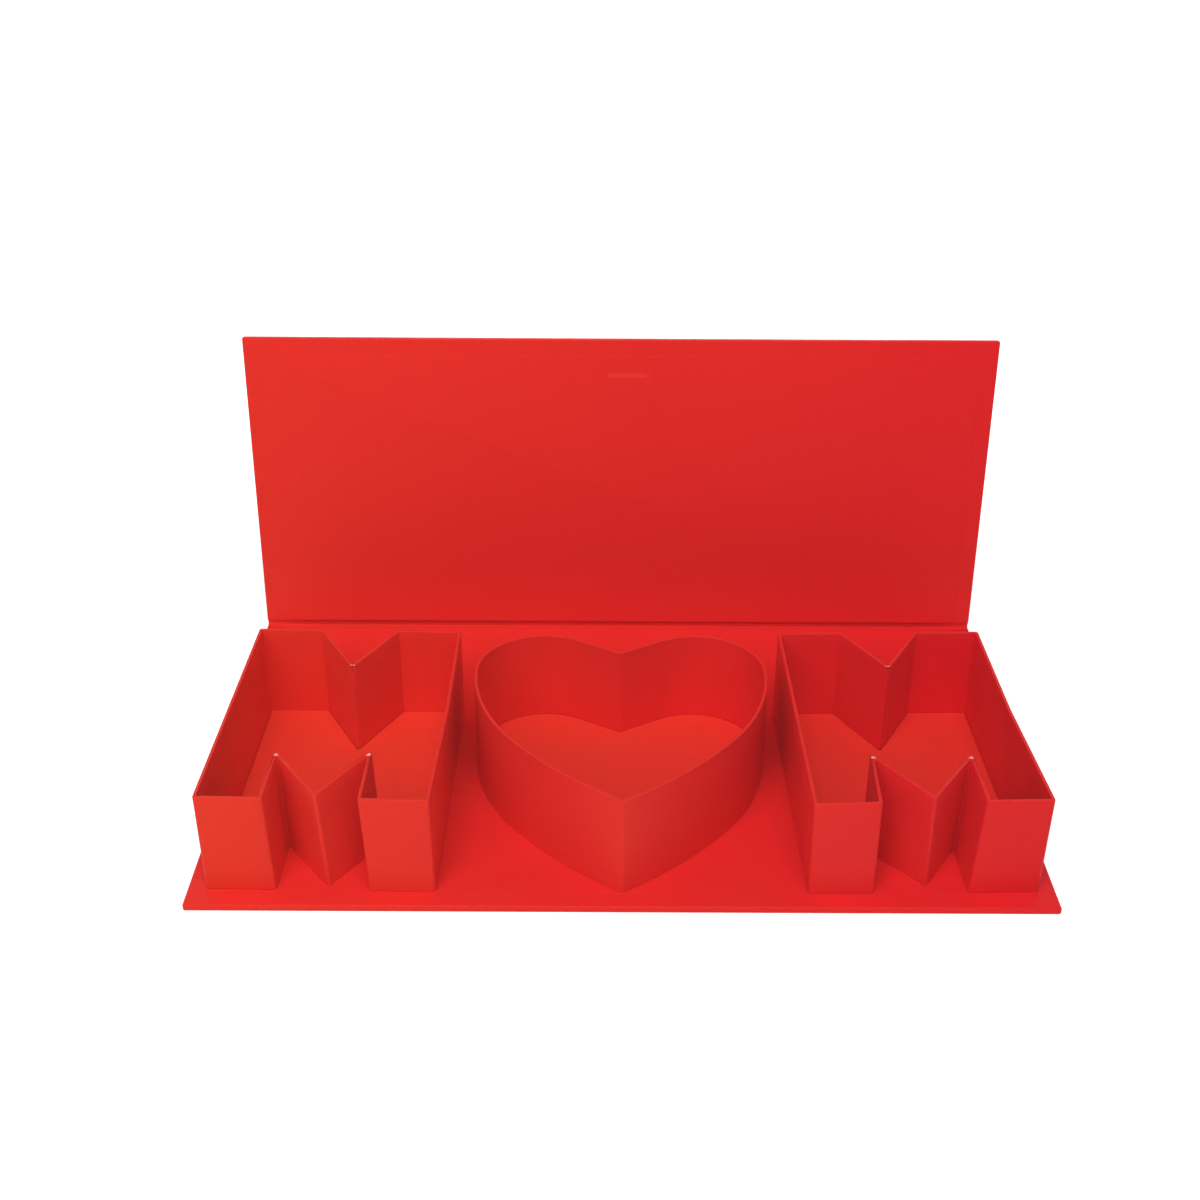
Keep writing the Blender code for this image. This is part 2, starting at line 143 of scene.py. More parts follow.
def add_camera():
    """The photograph's viewpoint: a little left of the middle, looking down 29 degrees."""
    data = bpy.data.cameras.new("front_view")
    data.sensor_width = 36.0
    data.lens = CAMERA_LENS
    pitch, yaw, roll = [math.radians(angle) for angle in CAMERA_TURNS]
    tilt = Matrix.Rotation(math.pi / 2 - pitch, 3, "X")
    turn = Matrix.Rotation(yaw, 3, "Z")
    spin = Matrix.Rotation(-roll, 3, "Z")
    camera = bpy.data.objects.new("front_view", data)
    camera.matrix_world = Matrix.Translation(CAMERA_PLACE) @ (turn @ tilt @ spin).to_4x4()
    bpy.context.scene.collection.objects.link(camera)
    bpy.context.scene.camera = camera


# Studio

SOFTBOX_SIZE = 1.0
SOFTBOX_AIM = Vector((0, 0.05, 0.05))
# Place in metres and power in watts
SOFTBOXES = {
    "overhead_softbox": ((-0.05, -0.8, 1.7), 18.5),
    "front_left_softbox": ((-0.8, -1.4, 1.3), 13.5),
    "front_right_softbox": ((0.8, -1.4, 1.3), 5.2),
    "left_tent_wall": ((-1.7, 0.0, 0.9), 4.6),
    "right_tent_wall": ((1.7, 0.0, 0.9), 4.2),
    "rear_softbox": ((0.0, 1.6, 0.5), 9.0),
}
# How bright the white room is, to the papers and to the camera
ROOM_LIGHT = 0.06
ROOM_SEEN = 1.0
TABLE_SIZE = 6.0
TABLE_DROP = 0.0002  # metres; keeps the table just clear of the box's underside
# The table's own glow, and the distances in metres over which it rises
GLOW_FROM, GLOW_TO = 0.35, 1.3
GLOW_LOW, GLOW_HIGH = 0.55, 1.0


def add_softbox(name, place, power):
    """A square softbox turned to the middle of the box."""
    data = bpy.data.lights.new(name, "AREA")
    data.shape = "SQUARE"
    data.size = SOFTBOX_SIZE
    data.energy = power
    lamp = bpy.data.objects.new(name, data)
    lamp.location = place
    aim = SOFTBOX_AIM - Vector(place)
    lamp.rotation_euler = aim.to_track_quat("-Z", "Y").to_euler()
    bpy.context.scene.collection.objects.link(lamp)


def seen_directly(tree):
    """1 for the camera and for rays sent on by gloss or glass, 0 for light that falls on things."""
    path = add_node(tree, "ShaderNodeLightPath")
    seen = path.outputs["Is Camera Ray"]
    for name in ("Is Glossy Ray", "Is Transmission Ray"):
        both = enumerate((seen, path.outputs[name]))
        seen = add_node(tree, "ShaderNodeMath", both, operation="MAXIMUM").outputs[0]
    return seen


def add_studio():
    """A plain white room with softboxes in front, above, at the sides and behind."""
    scene = bpy.context.scene
    scene.view_settings.view_transform = "Standard"
    world = bpy.data.worlds.new("studio")
    scene.world = world
    world.use_nodes = True
    tree = world.node_tree
    tree.nodes.clear()
    levels = [(0, seen_directly(tree)), (2, ROOM_LIGHT), (3, ROOM_SEEN)]
    level = add_node(tree, "ShaderNodeMix", levels)
    room = [("Color", WHITE), ("Strength", level.outputs[0])]
    light = add_node(tree, "ShaderNodeBackground", room)
    add_node(tree, "ShaderNodeOutputWorld", [("Surface", light.outputs[0])])
    for name, (place, power) in SOFTBOXES.items():
        add_softbox(name, place, power)


def add_floor():
    """White table top. It keeps the box's shadow close by and fades to plain white."""
    bpy.ops.object.select_all(action="DESELECT")
    bpy.ops.mesh.primitive_plane_add(size=TABLE_SIZE, location=(0, 0, 0))
    floor = bpy.context.object
    floor.name = "studio_floor"
    floor.data.transform(Matrix.Translation((0, 0, -TABLE_DROP)))
    material, tree = new_material("white studio table")
    place = add_node(tree, "ShaderNodeTexCoord").outputs["Object"]
    away = add_node(tree, "ShaderNodeVectorMath", [(0, place)], operation="LENGTH")
    rise = enumerate((away.outputs["Value"], GLOW_FROM, GLOW_TO, GLOW_LOW, GLOW_HIGH))
    rise = add_node(tree, "ShaderNodeMapRange", rise)
    seen = enumerate((seen_directly(tree), rise.outputs[0]))
    lift = add_node(tree, "ShaderNodeMath", seen, operation="MULTIPLY")
    paper = add_node(tree, "ShaderNodeBsdfDiffuse", [("Color", linear(STUDIO_WHITE))])
    glow = [("Color", WHITE), ("Strength", lift.outputs[0])]
    glow = add_node(tree, "ShaderNodeEmission", glow)
    both = add_node(tree, "ShaderNodeAddShader", enumerate((paper.outputs[0], glow.outputs[0])))
    add_node(tree, "ShaderNodeOutputMaterial", [("Surface", both.outputs[0])])
    floor.data.materials.append(material)


# Papers and boards. Patterns are given as the number of spots in a metre

DYE_PATCHES = 8.0  # 125 mm apart
SHEEN_PATCHES = 35.0  # 29 mm
GLUE_WAVES = 200.0  # 5 mm
RIM_MARK_SPOTS = 240.0  # 4 mm
PULP_CLOUDS = 420.0  # 2.4 mm
BOARD_FLECKS = 600.0  # 1.7 mm
PAPER_FIBRES = 830.0  # 1.2 mm
# The ends between which most of a noise lies
NOISE_LOW, NOISE_HIGH = 0.3, 0.7
# How much of a paper's colour change is random patches; the rest is painted light, a lighter,
# warmer red from right to left
PATCH_SHARE = 0.15
# Depths of the relief, in millimetres
WAVE_DEPTH, FIBRE_DEPTH, PULP_DEPTH = 0.06, 0.012, 0.05
# The rim's lighter band, worn paper and painted highlight: how far below the rim it is full, in
# millimetres, and its strength in flecks
LIGHTENED_DOWN_TO = 0.1
RIM_LIGHT_LOW, RIM_LIGHT_HIGH = 0.2, 0.8
# How the fibres shade a paper's colour, and how far its roughness swings in patches
FIBRE_DARK, FIBRE_LIGHT = 0.97, 1.03
SHEEN_BELOW, SHEEN_ABOVE = 0.04, 0.05
# A board's clouds and flecks: the ends between which their noises count
CLOUD_ENDS = (0.4, 0.75)
FLECK_ENDS = (0.08, 0.3)
# Pressing lays the fibres flat, so the pattern is four times as fine through the board
PRESSED_FLAT = (1.0, 1.0, 4.0)
# The painted highlight of a crease in the lid's lining: axis, middle, half length and soft edge, in
# millimetres
CREASE_HIGHLIGHT_SPOT = (("Z", 191.0, 0.4, 1.4), ("X", 4.1, 9.0, 6.0))


def tone_with_painted_left_light(tree, place, main, lit_warm):
    """Two close reds: painted light makes the red lighter and warmer towards the left, and large
    soft patches vary its tone.
    """
    along = add_node(tree, "ShaderNodeSeparateXYZ", [(0, place)]).outputs["X"]
    edge = BOX_WIDTH / 2 * MM
    painted_left_light = add_node(tree, "ShaderNodeMapRange", enumerate((along, edge, -edge, 0.0, 1.0)))
    noise = [("Vector", place), ("Scale", DYE_PATCHES), ("Detail", 2.0)]
    noise = add_node(tree, "ShaderNodeTexNoise", noise)
    patches = enumerate((noise.outputs[0], NOISE_LOW, NOISE_HIGH))
    patches = add_node(tree, "ShaderNodeMapRange", patches)
    shares = [(0, PATCH_SHARE), (2, painted_left_light.outputs[0]), (3, patches.outputs[0])]
    share = add_node(tree, "ShaderNodeMix", shares)
    # Painted light: the red gets lighter and warmer towards the left
    colours = [(0, share.outputs[0]), (6, linear(main)), (7, linear(lit_warm))]
    return add_node(tree, "ShaderNodeMix", colours, data_type="RGBA").outputs[2]


def painted_crease_light(tree, place, colour):
    """A short light dash near the lid's free edge: the painted highlight of a crease pressed in by
    a fingernail or a tool.
    """
    spot = add_node(tree, "ShaderNodeSeparateXYZ", [(0, place)])
    nears = []
    for axis, middle, half, soft in CREASE_HIGHLIGHT_SPOT:
        off = enumerate((spot.outputs[axis], middle * MM))
        off = add_node(tree, "ShaderNodeMath", off, operation="SUBTRACT").outputs[0]
        off = add_node(tree, "ShaderNodeMath", [(0, off)], operation="ABSOLUTE").outputs[0]
        near = enumerate((off, half * MM, (half + soft) * MM, 1.0, 0.0))
        near = add_node(tree, "ShaderNodeMapRange", near, interpolation_type="SMOOTHSTEP")
        nears.append(near.outputs[0])
    share = add_node(tree, "ShaderNodeMath", enumerate(nears), operation="MULTIPLY")
    # Painted highlight of the crease
    colours = [(0, share.outputs[0]), (6, colour), (7, linear(CREASE_HIGHLIGHT_RED))]
    return add_node(tree, "ShaderNodeMix", colours, data_type="RGBA").outputs[2]


def worn_and_lit(tree, place, colour):
    """The red lightened along the trays' rims: paper worn where it is stretched and rubbed, and a
    painted highlight where light catches the rim.
    """
    height = add_node(tree, "ShaderNodeSeparateXYZ", [(0, place)]).outputs["Z"]
    rim_band = enumerate((height, (RIM - RIM_ROUND) * MM, (RIM - LIGHTENED_DOWN_TO) * MM))
    rim_band = add_node(tree, "ShaderNodeMapRange", rim_band)
    noise = [("Vector", place), ("Scale", RIM_MARK_SPOTS), ("Detail", 3.0)]
    noise = add_node(tree, "ShaderNodeTexNoise", noise)
    patches = enumerate((noise.outputs[0], NOISE_LOW, NOISE_HIGH, RIM_LIGHT_LOW, RIM_LIGHT_HIGH))
    patches = add_node(tree, "ShaderNodeMapRange", patches)
    share = enumerate((patches.outputs[0], rim_band.outputs[0]))
    share = add_node(tree, "ShaderNodeMath", share, operation="MULTIPLY")
    # Worn paper and painted highlight: the rim's top is lighter
    colours = [(0, share.outputs[0]), (6, colour), (7, linear(RIM_WORN_AND_LIT_RED))]
    return add_node(tree, "ShaderNodeMix", colours, data_type="RGBA").outputs[2]


def paper_relief(tree, place, strength):
    """Shallow waves left by the glue, and the paper's fibres on top: the fibres and the normal.

    Real fibres are a tenth of a millimetre wide; they are drawn 1.2 mm wide so that they show.
    """
    waves = [("Vector", place), ("Scale", GLUE_WAVES), ("Detail", 1.0)]
    waves = add_node(tree, "ShaderNodeTexNoise", waves).outputs[0]
    fibres = [("Vector", place), ("Scale", PAPER_FIBRES), ("Detail", 4.0)]
    fibres = add_node(tree, "ShaderNodeTexNoise", fibres).outputs[0]
    low = [("Height", waves), ("Strength", strength), ("Distance", WAVE_DEPTH * MM)]
    low = add_node(tree, "ShaderNodeBump", low).outputs[0]
    fine = [
        ("Height", fibres), ("Strength", strength), ("Distance", FIBRE_DEPTH * MM),
        ("Normal", low),
    ]
    return fibres, add_node(tree, "ShaderNodeBump", fine).outputs[0]


def coloured_paper(name, main, lit_warm, roughness, relief, marks=None):
    """Dyed paper over board. The eye sees an even red with a soft, slightly uneven sheen.

    The emission is a faint painted white glow, which lifts the shaded red so that it doesn't turn
    black-red.
    """
    material, tree = new_material(name)
    place = add_node(tree, "ShaderNodeTexCoord").outputs["Object"]
    colour = tone_with_painted_left_light(tree, place, main, lit_warm)
    if marks:
        colour = marks(tree, place, colour)
    fibres, normal = paper_relief(tree, place, relief)
    shade = enumerate((fibres, NOISE_LOW, NOISE_HIGH, FIBRE_DARK, FIBRE_LIGHT))
    shade = add_node(tree, "ShaderNodeMapRange", shade)
    tinted = [("Value", shade.outputs[0]), ("Color", colour)]
    tinted = add_node(tree, "ShaderNodeHueSaturation", tinted)
    sheen = [("Vector", place), ("Scale", SHEEN_PATCHES), ("Detail", 3.0)]
    sheen = add_node(tree, "ShaderNodeTexNoise", sheen)
    smooth, dull = roughness - SHEEN_BELOW, roughness + SHEEN_ABOVE
    rough = enumerate((sheen.outputs[0], NOISE_LOW, NOISE_HIGH, smooth, dull))
    rough = add_node(tree, "ShaderNodeMapRange", rough)
    surface = [
        ("Base Color", tinted.outputs[0]), ("Roughness", rough.outputs[0]), ("Normal", normal),
        ("Specular IOR Level", 0.2), ("Specular Tint", (1.0, 0.5, 0.08, 1.0)),
        # Painted glow: a faint white emission that lifts the shaded red
        ("Emission Color", WHITE), ("Emission Strength", 0.007),
    ]
    shader = add_node(tree, "ShaderNodeBsdfPrincipled", surface)
    add_node(tree, "ShaderNodeOutputMaterial", [("Surface", shader.outputs[0])])
    return material


def pressed_board(name, main, fleck, roughness):
    """Board pressed from waste paper. The eye sees dull clouds with darker fibre flecks."""
    material, tree = new_material(name)
    place = add_node(tree, "ShaderNodeTexCoord").outputs["Object"]
    flat = [("Vector", place), ("Scale", PRESSED_FLAT)]
    flat = add_node(tree, "ShaderNodeMapping", flat).outputs[0]
    pulp = [("Vector", flat), ("Scale", PULP_CLOUDS), ("Detail", 5.0)]
    pulp = add_node(tree, "ShaderNodeTexNoise", pulp).outputs[0]
    clouds = add_node(tree, "ShaderNodeMapRange", enumerate((pulp, *CLOUD_ENDS)))
    flecks = [("Vector", flat), ("Scale", BOARD_FLECKS)]
    flecks = add_node(tree, "ShaderNodeTexVoronoi", flecks).outputs["Distance"]
    spots = add_node(tree, "ShaderNodeMapRange", enumerate((flecks, *FLECK_ENDS, 1.0, 0.0)))
    share = enumerate((clouds.outputs[0], spots.outputs[0]))
    share = add_node(tree, "ShaderNodeMath", share, operation="MAXIMUM")
    colours = [(0, share.outputs[0]), (6, linear(main)), (7, linear(fleck))]
    colour = add_node(tree, "ShaderNodeMix", colours, data_type="RGBA").outputs[2]
    bump = [("Height", pulp), ("Strength", 0.5), ("Distance", PULP_DEPTH * MM)]
    bump = add_node(tree, "ShaderNodeBump", bump)
    surface = [("Base Color", colour), ("Roughness", roughness), ("Normal", bump.outputs[0])]
    shader = add_node(tree, "ShaderNodeBsdfPrincipled", surface)
    add_node(tree, "ShaderNodeOutputMaterial", [("Surface", shader.outputs[0])])
    return material


def paint(nodes, material):
    for name in nodes:
        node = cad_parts[name]
        node.data.materials.clear()
        node.data.materials.append(material)


# Shaping by hand

def pick(kind, test):
    """Select only the vertices, edges or faces of the piece in hand that pass a test."""
    bpy.ops.mesh.select_mode(type=kind)
    bpy.ops.mesh.select_all(action="DESELECT")
    edit = bmesh.from_edit_mesh(bpy.context.object.data)
    parts = {"VERT": edit.verts, "EDGE": edit.edges, "FACE": edit.faces}[kind]
    found = [part for part in parts if test(part)]
    for part in found:
        part.select_set(True)
    edit.select_flush_mode()
    bmesh.update_edit_mesh(bpy.context.object.data)
    return len(found)


def start_outline(name, start):
    """A new piece that is one point, ready to be drawn on from there."""
    bpy.ops.object.select_all(action="DESELECT")
    bpy.ops.mesh.primitive_plane_add(size=MM, location=start)
    piece = bpy.context.object
    piece.name = name
    bpy.ops.object.transform_apply(location=True)
    bpy.ops.object.mode_set(mode="EDIT")
    bpy.ops.mesh.select_mode(type="VERT")
    bpy.ops.mesh.select_all(action="SELECT")
    bpy.ops.mesh.merge(type="CENTER")
    return piece


def draw_to(step):
    """Draw on from what is selected: a point gives an edge, an edge a face."""
    bpy.ops.mesh.extrude_region_move(TRANSFORM_OT_translate={"value": step})


def push(step):
    bpy.ops.transform.translate(value=step)


def close_outline():
    """Join the ends of the drawn line and fill it with one face that looks up."""
    bpy.ops.mesh.select_all(action="SELECT")
    bpy.ops.mesh.remove_doubles(threshold=SAME_POINT)
    if pick("VERT", lambda vertex: len(vertex.link_edges) < 2):
        bpy.ops.mesh.edge_face_add()
    bpy.ops.mesh.select_all(action="SELECT")
    bpy.ops.mesh.edge_face_add()
    edit = bmesh.from_edit_mesh(bpy.context.object.data)
    if any(face.normal.z < 0 for face in edit.faces):
        bpy.ops.mesh.flip_normals()


def hold(piece):
    """Make this the only piece in hand."""
    bpy.ops.object.select_all(action="DESELECT")
    piece.select_set(True)
    bpy.context.view_layer.objects.active = piece


def apply_modifier(piece, kind, **settings):
    modifier = piece.modifiers.new(kind.lower(), kind)
    for name, value in settings.items():
        setattr(modifier, name, value)
    bpy.ops.object.modifier_apply(modifier=modifier.name)


def finish_piece(piece, node, body, slot, material, angle=35.0):
    """Leave edit mode, shade smooth where faces meet below the angle, and hand the piece on."""
    bpy.ops.object.mode_set(mode="OBJECT")
    bpy.ops.object.shade_smooth_by_angle(angle=math.radians(angle))
    piece.data.materials.append(material)
    if body:
        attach(piece, body)
    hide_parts(node)


# Walls of the trays

RIM_STEPS = (0, 30, 60, 90)  # degrees of the rim's rounding
# Half-way up the walls, which tells points at the rim from points at the foot
HALF_WAY = RIM / 2 * MM
SHORT_EDGE = 0.005  # metres; shorter edges are no part of an upright fold
FOLD_SEGMENTS = 5
WALL_CUTS = 7  # across the walls' upright edges, so that a slanting fold stays smooth
# Turns smaller than this are bends of the wall, not folds
LEAST_FOLD = math.radians(25.0)
# Radii at the outer and the inner face of a wall, in mm: of an outward and an inward fold
PAPER_RADII = ((1.5, 0.5), (0.3, 1.5))
BOARD_RADII = ((1.0, 0.75), (0.3, 1.15))
# The inner face of the notch's fold is rounder by this radius, in this many segments
NOTCH_EXTRA, NOTCH_SEGMENTS = 0.5, 2
# The cylinder that cuts a slit: radius, height, and its middle above the rim, in millimetres
SLIT_RADIUS, SLIT_CUTTER, SLIT_CUTTER_RISE = 1.7, 2.0, 0.4

# Corners of the letters at the rim, and how far each has strayed at the foot: x, y, dx, dy
LEFT_LETTER = {
    "tip": (-155.26, -79.30, 3.01, 0.86),
    "right crotch": (-132.82, -42.93, 2.46, -2.54),
    "right toe": (-133.40, -81.93, 2.50, -0.04),
    "front right": (-97.40, -82.46, 0.90, -0.01),
    "middle right": (-94.36, 1.50, -0.90, 0.01),
    "back right": (-94.01, 85.51, 0.00, 0.00),
    "right of notch": (-131.91, 86.07, 0.00, 0.00),
    "notch apex": (-153.19, 47.18, -0.01, -0.90),
    "left of notch": (-175.30, 86.71, 0.00, 0.00),
    "back left": (-213.60, 87.28, 0.40, -0.01),
    "front left": (-216.29, -80.70, 0.60, -0.01),
    "left toe": (-181.19, -81.22, 2.00, -0.03),
    "left crotch": (-180.63, -43.22, 1.98, -1.53),
}
RIGHT_LETTER = {
    "tip": (156.90, -78.97, 1.63, 2.94),
    "right crotch": (181.89, -43.00, -3.14, -2.57),
    "right toe": (182.55, -80.99, -3.20, -0.07),
    "front right": (217.04, -80.21, -0.70, -0.02),
    "middle right": (213.13, 3.72, 0.90, 0.02),
    "back right": (212.53, 87.73, 0.00, 0.00),
    "right of notch": (174.64, 86.87, 0.00, 0.00),
    "notch apex": (152.80, 48.67, 0.02, -1.00),
    "left of notch": (131.25, 85.89, 0.00, 0.00),
    "back left": (93.36, 85.03, 0.00, 0.00),
    "front left": (95.21, -84.48, 1.17, 1.53),
    "left toe": (129.78, -82.89, 0.68, 0.72),
    "left crotch": (131.08, -43.15, -0.94, -2.52),
}
LEFT_SLITS = ((-132.61, -42.20), (-153.18, 46.33), (-180.86, -42.47))
RIGHT_SLITS = ((182.12, -42.25), (152.80, 47.82), (130.85, -42.39))


def raise_walls(outline, thickness):
    """From the filled outline at the rim: the rim, both faces of the wall and its foot."""
    drop = (0, 0, TRAY_BASE * MM - outline[0].z)
    bpy.ops.mesh.inset(thickness=thickness, use_even_offset=True)
    bpy.ops.mesh.delete(type="ONLY_FACE")

    def is_open(edge):
        return len(edge.link_faces) == 1

    def is_outer(edge):
        return all(any((v.co - p).length < SAME_POINT for p in outline) for v in edge.verts)

    def is_high(edge):
        return edge.verts[0].co.z > HALF_WAY

    pick("EDGE", lambda edge: is_open(edge) and is_outer(edge))
    draw_to(drop)
    pick("EDGE", lambda edge: is_open(edge) and not is_outer(edge) and is_high(edge))
    draw_to(drop)
    pick("EDGE", is_open)
    bpy.ops.mesh.bridge_edge_loops()


def soften(corner, foot, radius, turn, segments=FOLD_SEGMENTS):
    """Round one upright fold, from its place at the rim to its place at the foot."""
    def on_fold(edge):
        ends = sorted(edge.verts, key=lambda vertex: vertex.co.z)
        if ends[1].co.z - ends[0].co.z < SHORT_EDGE:
            return False
        for vertex in ends:
            share = (corner.z - vertex.co.z) / (corner.z - TRAY_BASE * MM)
            off = vertex.co - corner.lerp(foot, share)
            if off.xy.length >= SAME_FOLD:
                return False
        return True

    if pick("EDGE", on_fold):
        reach = radius * math.tan(abs(turn) / 2) * MM
        bpy.ops.mesh.bevel(offset=reach, segments=segments, affect="EDGES", clamp_overlap=False)


def turn_at(corners, i):
    """How far the outline turns at a corner: more than 0 where it turns left, an outward fold."""
    before = corners[i] - corners[i - 1]
    after = corners[(i + 1) % len(corners)] - corners[i]
    return math.atan2(before.x * after.y - before.y * after.x, before.xy.dot(after.xy))


def moved_in(corners, i, inset):
    """A corner of the outline, moved towards the tray's inside as far as its two sides are."""
    before = (corners[i] - corners[i - 1]).normalized()
    after = (corners[(i + 1) % len(corners)] - corners[i]).normalized()
    side = Vector((-before.y - after.y, before.x + after.x, 0.0)).normalized()
    return corners[i] + side * inset / side.dot(Vector((-before.y, before.x, 0.0)))


def round_rim():
    """A soft edge along both sides of the rim, where the paper is folded over the board."""
    pick("FACE", lambda face: face.normal.z > LIES_FLAT)
    push((0, 0, -RIM_ROUND * MM))
    for here, there in zip(RIM_STEPS, RIM_STEPS[1:]):
        here, there = math.radians(here), math.radians(there)
        in_by = RIM_ROUND * (math.cos(here) - math.cos(there)) * MM
        up_by = RIM_ROUND * (math.sin(there) - math.sin(here)) * MM
        bpy.ops.mesh.inset(thickness=in_by, use_even_offset=True)
        push((0, 0, up_by))


def cut_slits(piece, slits):
    """The wrap is slit where a fold points inwards, and a dot of bare board shows."""
    for x, y in slits:
        bpy.ops.object.select_all(action="DESELECT")
        bpy.ops.mesh.primitive_cylinder_add(
            vertices=20, radius=SLIT_RADIUS * MM, depth=SLIT_CUTTER * MM,
            location=(x * MM, y * MM, (RIM + SLIT_CUTTER_RISE) * MM),
        )
        cutter = bpy.context.object
        hold(piece)
        apply_modifier(piece, "BOOLEAN", operation="DIFFERENCE", solver="EXACT", object=cutter)
        bpy.data.objects.remove(cutter, do_unlink=True)


def fold_letter_wall(name, plan, inset, thickness, radii):
    """A letter's wall, drawn at the rim, let down to its strayed foot, with its folds rounded."""
    rim = [Vector((x * MM, y * MM, (RIM - inset) * MM)) for x, y, _, _ in plan.values()]
    strays = [Vector((dx * MM, dy * MM, 0.0)) for _, _, dx, dy in plan.values()]
    corners = [moved_in(rim, i, inset * MM) for i in range(len(rim))]
    piece = start_outline(name, corners[0])
    for here, there in zip(corners, corners[1:]):
        draw_to(there - here)
    close_outline()
    raise_walls(corners, thickness * MM)
    folds = []
    for i, corner in enumerate(plan):
        turn = turn_at(corners, i)
        inner = moved_in(corners, i, thickness * MM)
        for spot, (outward, inward) in zip((corners[i], inner), radii):
            def at_foot(vertex):
                off = (vertex.co - spot).xy.length
                return off < SAME_CORNER and vertex.co.z < HALF_WAY

            if pick("VERT", at_foot):
                push(strays[i])
            if abs(turn) < LEAST_FOLD:
                continue
            radius, segments = outward if turn > 0 else inward, FOLD_SEGMENTS
            if corner == "notch apex" and spot is inner:
                radius, segments = inward + NOTCH_EXTRA, NOTCH_SEGMENTS
            folds.append((spot, spot + strays[i], radius, turn, segments))
    pick("EDGE", lambda edge: abs(edge.verts[0].co.z - edge.verts[1].co.z) > HALF_WAY)
    bpy.ops.mesh.subdivide(number_cuts=WALL_CUTS)
    for fold in folds:
        soften(*fold)
    return piece


def finish_tray_paper(piece, node, slits):
    bpy.ops.object.mode_set(mode="OBJECT")
    cut_slits(piece, slits)
    apply_modifier(piece, "WEIGHTED_NORMAL", keep_sharp=True)
    finish_piece(piece, node, "base", "red_wrap_paper", tray_paper)


def add_letter_tray(side, plan, slits):
    """The letter's wrapping paper and, inside it, the board that shows through the slits."""
    paper = fold_letter_wall(side + "_letter_paper", plan, 0.0, WALL, PAPER_RADII)
    round_rim()
    finish_tray_paper(paper, side + "_letter_wrap", slits)
    board = fold_letter_wall(side + "_letter_bent_board", plan, SKIN, WALL_BOARD, BOARD_RADII)
    finish_piece(board, side + "_letter_wall_board", "base", "white_wall_board", duplex)


# Heart tray

HEART_TIP = Vector((0.0, -82.6878 * MM, RIM * MM))
HEART_CLEFT = Vector((0.0, 62.371 * MM, RIM * MM))
HEART_TIP_ANGLE = math.radians(32.7)
# Radius in mm, turn in degrees and steps of the arcs from the tip to the lobe's inner end
HEART_ARCS = ((235.5, 19.3, 14), (115.6, 38.6, 22), (39.3, 120.0, 44))
# Place, turn in degrees, way to the inner face, and radii at the outer and the inner face
HEART_FOLDS = ((HEART_TIP, 65.4, 1, 1.5, 0.3), (HEART_CLEFT, 64.4, -1, 0.5, 1.5))


def spin_on(place, heading, arc):
    """Draw on from the selected point along an arc that turns left."""
    radius, turn, steps = arc
    turn = math.radians(turn)
    centre = place + radius * MM * Vector((-math.sin(heading), math.cos(heading), 0.0))
    bpy.ops.mesh.spin(steps=steps, angle=-turn, center=centre, axis=(0, 0, 1))
    return centre + Matrix.Rotation(turn, 3, "Z") @ (place - centre), heading + turn


def add_heart_paper():
    """The heart's wrapping paper, drawn from the tip round its right half and back by the left."""
    piece = start_outline("heart_tray_paper", HEART_TIP)
    place, heading = HEART_TIP, HEART_TIP_ANGLE
    for arc in HEART_ARCS:
        place, heading = spin_on(place, heading, arc)
    draw_to(HEART_CLEFT - place)
    place = Vector((-place.x, place.y, place.z))
    draw_to(place - HEART_CLEFT)
    heading = math.tau - heading
    for arc in reversed(HEART_ARCS):
        place, heading = spin_on(place, heading, arc)
    # Leaving edit mode and coming back brings the spun points into the mesh
    bpy.ops.object.mode_set(mode="OBJECT")
    bpy.ops.object.mode_set(mode="EDIT")
    close_outline()
    edit = bmesh.from_edit_mesh(piece.data)
    outline = [vertex.co.copy() for vertex in edit.verts]
    raise_walls(outline, WALL * MM)
    for spot, turn, way, outer_radius, inner_radius in HEART_FOLDS:
        turn = math.radians(turn)
        inner = spot + Vector((0.0, way * WALL * MM / math.cos(turn / 2), 0.0))
        soften(spot, spot, outer_radius, turn)
        soften(inner, inner, inner_radius, turn)
    round_rim()
    finish_tray_paper(piece, "heart_wrap", ())


# Hinge papers

# Halves of the papers' paths across a hinge: y from the hinge line and z, in millimetres
GROOVE_NEAR = (
    (-6.15, 4.40), (-5.70, 4.40), (-5.30, 4.36), (-5.06, 4.16), (-4.98, 3.50), (-4.94, 2.80),
    (-4.84, 2.20), (-4.55, 1.85), (-4.00, 1.70), (-3.20, 1.66), (-2.40, 1.70), (-1.60, 1.85),
)
GROOVE_FAR = (
    (-6.15, 4.40), (-5.80, 4.36), (-5.45, 4.24), (-5.15, 4.00), (-4.95, 3.55), (-4.80, 3.05),
    (-4.60, 2.60), (-4.25, 2.28), (-3.80, 2.12), (-3.20, 2.05), (-2.40, 2.06), (-1.75, 2.12),
)
SHALLOW = (
    (-6.15, 4.40), (-5.60, 4.40), (-5.30, 4.36), (-5.05, 4.28), (-4.70, 4.12), (-4.40, 4.02),
    (-4.10, 3.95), (-3.85, 3.92), (-3.60, 3.91), (-3.35, 3.92), (-3.10, 3.95), (-2.85, 4.00),
)
LEVEL = (
    (-6.15, 4.40), (-5.30, 4.40), (-4.90, 4.39), (-4.40, 4.36), (-3.90, 4.32), (-3.40, 4.28),
    (-2.90, 4.24), (-2.40, 4.21), (-1.90, 4.18), (-1.40, 4.16), (-0.90, 4.14), (-0.40, 4.13),
)
UNDER = ((-5.25, 0.10), (-4.00, 0.10), (-2.80, 0.10), (-1.80, 0.11), (-0.90, 0.14))
